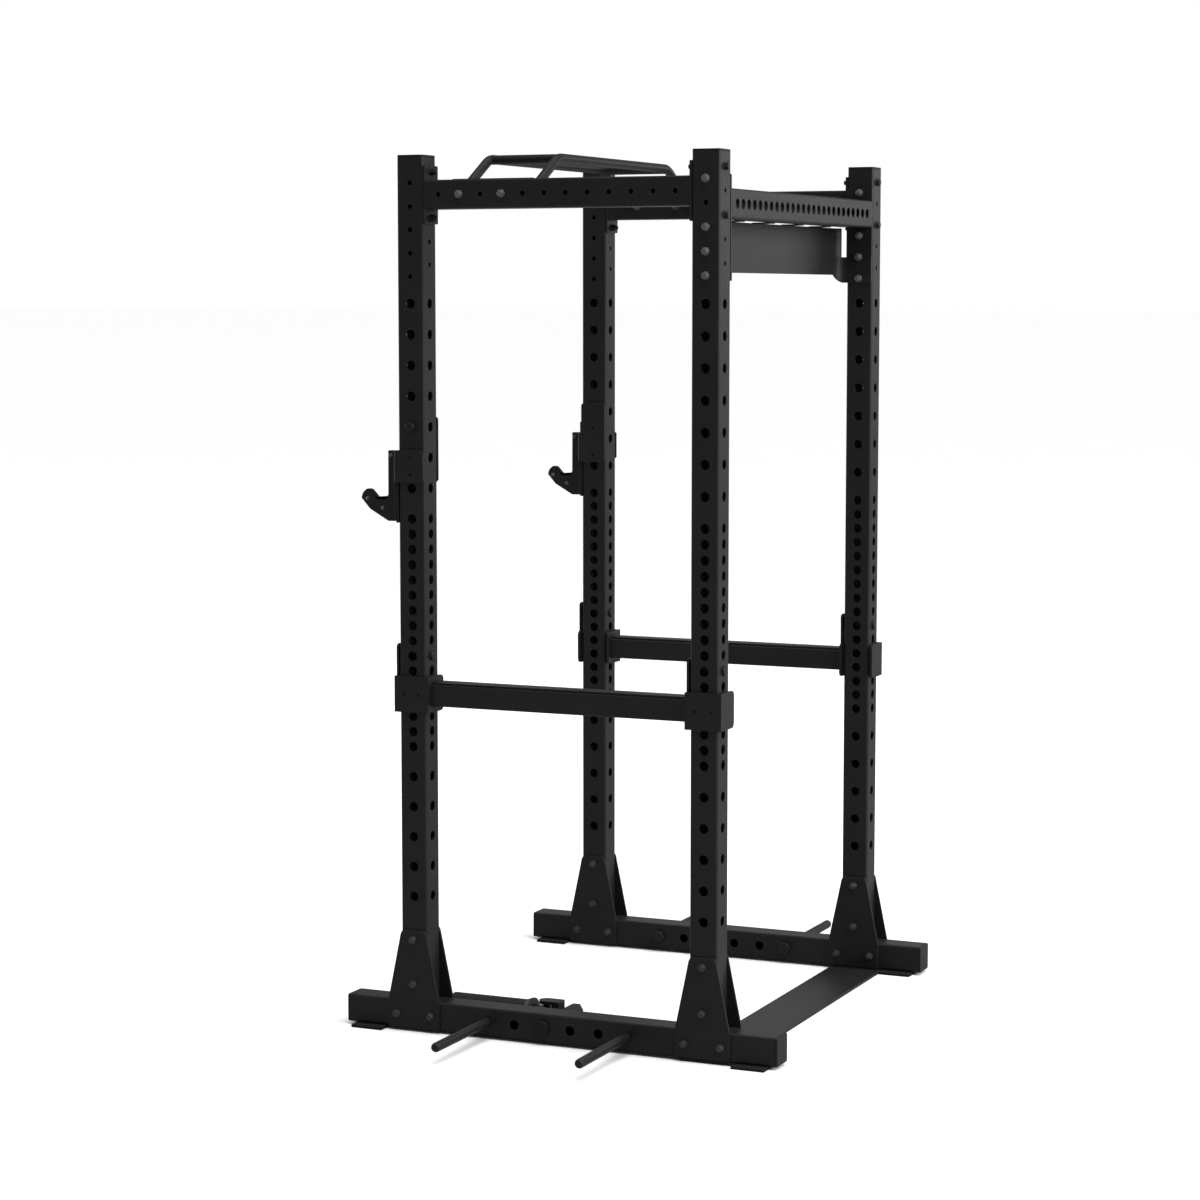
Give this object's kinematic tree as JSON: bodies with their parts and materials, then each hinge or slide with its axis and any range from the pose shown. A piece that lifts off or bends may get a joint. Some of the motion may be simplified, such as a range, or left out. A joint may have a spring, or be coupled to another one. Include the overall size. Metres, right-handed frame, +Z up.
{
  "type": "power cage",
  "caption": "Free-standing black power cage with drilled uprights, pull-up frame, pinned bar hooks, pinned safety beams, band pegs and a landmine sleeve.",
  "frame": {"origin": "on the floor, in the middle between the four uprights", "axes": "+Z up, -Y the front where the bar hooks are, +X the right side seen from the front"},
  "size_m": [1.843, 1.228, 2.3152],
  "materials": {
    "black_coat": "fine textured black powder coat",
    "black_plastic": "moulded matte black plastic",
    "foot_rubber": "black rubber",
    "plain_steel": "zinc-plated steel, slightly worn"
  },
  "bodies": {
    "frame": {"band_peg_front_left": "black_coat", "band_peg_front_right": "black_coat", "band_peg_rear_left": "black_coat", "band_peg_rear_right": "black_coat", "base_rail_left": "black_coat", "base_rail_right": "black_coat", "foot_pad_front_left": "foot_rubber", "foot_pad_front_right": "foot_rubber", "foot_pad_rear_left": "foot_rubber", "foot_pad_rear_right": "foot_rubber", "gusset_front_left_inner": "black_coat", "gusset_front_left_outer": "black_coat", "gusset_front_right_inner": "black_coat", "gusset_front_right_outer": "black_coat", "gusset_rear_left_inner": "black_coat", "gusset_rear_left_outer": "black_coat", "gusset_rear_right_inner": "black_coat", "gusset_rear_right_outer": "black_coat", "landmine_axle": "black_coat", "pull_up_frame": "black_coat", "rail_cap_front_left": "black_plastic", "rail_cap_front_right": "black_plastic", "rail_cap_rear_left": "black_plastic", "rail_cap_rear_right": "black_plastic", "rear_crossmember": "black_coat", "rear_floor_plate": "black_coat", "rear_panel": "black_coat", "side_beam_left": "black_coat", "side_beam_right": "black_coat", "upright_cap_front_left": "black_plastic", "upright_cap_front_right": "black_plastic", "upright_cap_rear_left": "black_plastic", "upright_cap_rear_right": "black_plastic", "upright_front_left": "black_coat", "upright_front_right": "black_coat", "upright_rear_left": "black_coat", "upright_rear_right": "black_coat"},
    "hook_right": {"hook_bracket_right": "black_coat", "hook_cradle_right": "black_plastic", "hook_liner_right": "black_plastic", "hook_pin_right": "black_coat"},
    "hook_left": {"hook_bracket_left": "black_coat", "hook_cradle_left": "black_plastic", "hook_liner_left": "black_plastic", "hook_pin_left": "black_coat"},
    "safety_right": {"safety_beam_right": "black_coat", "safety_liner_front_right": "black_plastic", "safety_liner_rear_right": "black_plastic", "safety_pin_front_right": "black_coat", "safety_pin_rear_right": "black_coat", "safety_strip_right": "black_plastic"},
    "safety_left": {"safety_beam_left": "black_coat", "safety_liner_front_left": "black_plastic", "safety_liner_rear_left": "black_plastic", "safety_pin_front_left": "black_coat", "safety_pin_rear_left": "black_coat", "safety_strip_left": "black_plastic"},
    "landmine_arm": {"landmine_swivel_pin": "plain_steel", "landmine_yoke": "black_coat"},
    "landmine_socket": {"landmine_sleeve": "black_coat"}
  },
  "joints": [
    {"name": "hook_right_swing", "type": "hinge", "parent": "frame", "child": "hook_right", "pos_m": [0.584, -0.412, 1.6035], "axis": [-1, 0, 0], "range_deg": [0, 90]},
    {"name": "hook_left_swing", "type": "hinge", "parent": "frame", "child": "hook_left", "pos_m": [-0.584, -0.412, 1.6035], "axis": [-1, 0, 0], "range_deg": [0, 90]},
    {"name": "safety_right_swing", "type": "hinge", "parent": "frame", "child": "safety_right", "pos_m": [0.584, 0, 1.0035], "axis": [0, -1, 0], "range_deg": [0, 90]},
    {"name": "safety_left_swing", "type": "hinge", "parent": "frame", "child": "safety_left", "pos_m": [-0.584, 0, 1.0035], "axis": [0, 1, 0], "range_deg": [0, 90]},
    {"name": "landmine_tilt", "type": "hinge", "parent": "frame", "child": "landmine_arm", "pos_m": [0.46, -0.04, 0.0458], "axis": [-1, 0, 0], "range_deg": [0, 85]},
    {"name": "landmine_swivel", "type": "hinge", "parent": "landmine_arm", "child": "landmine_socket", "pos_m": [0.46, -0.1005, 0.0458], "axis": [0, 0, -1], "range_deg": [-5, 60]}
  ]
}
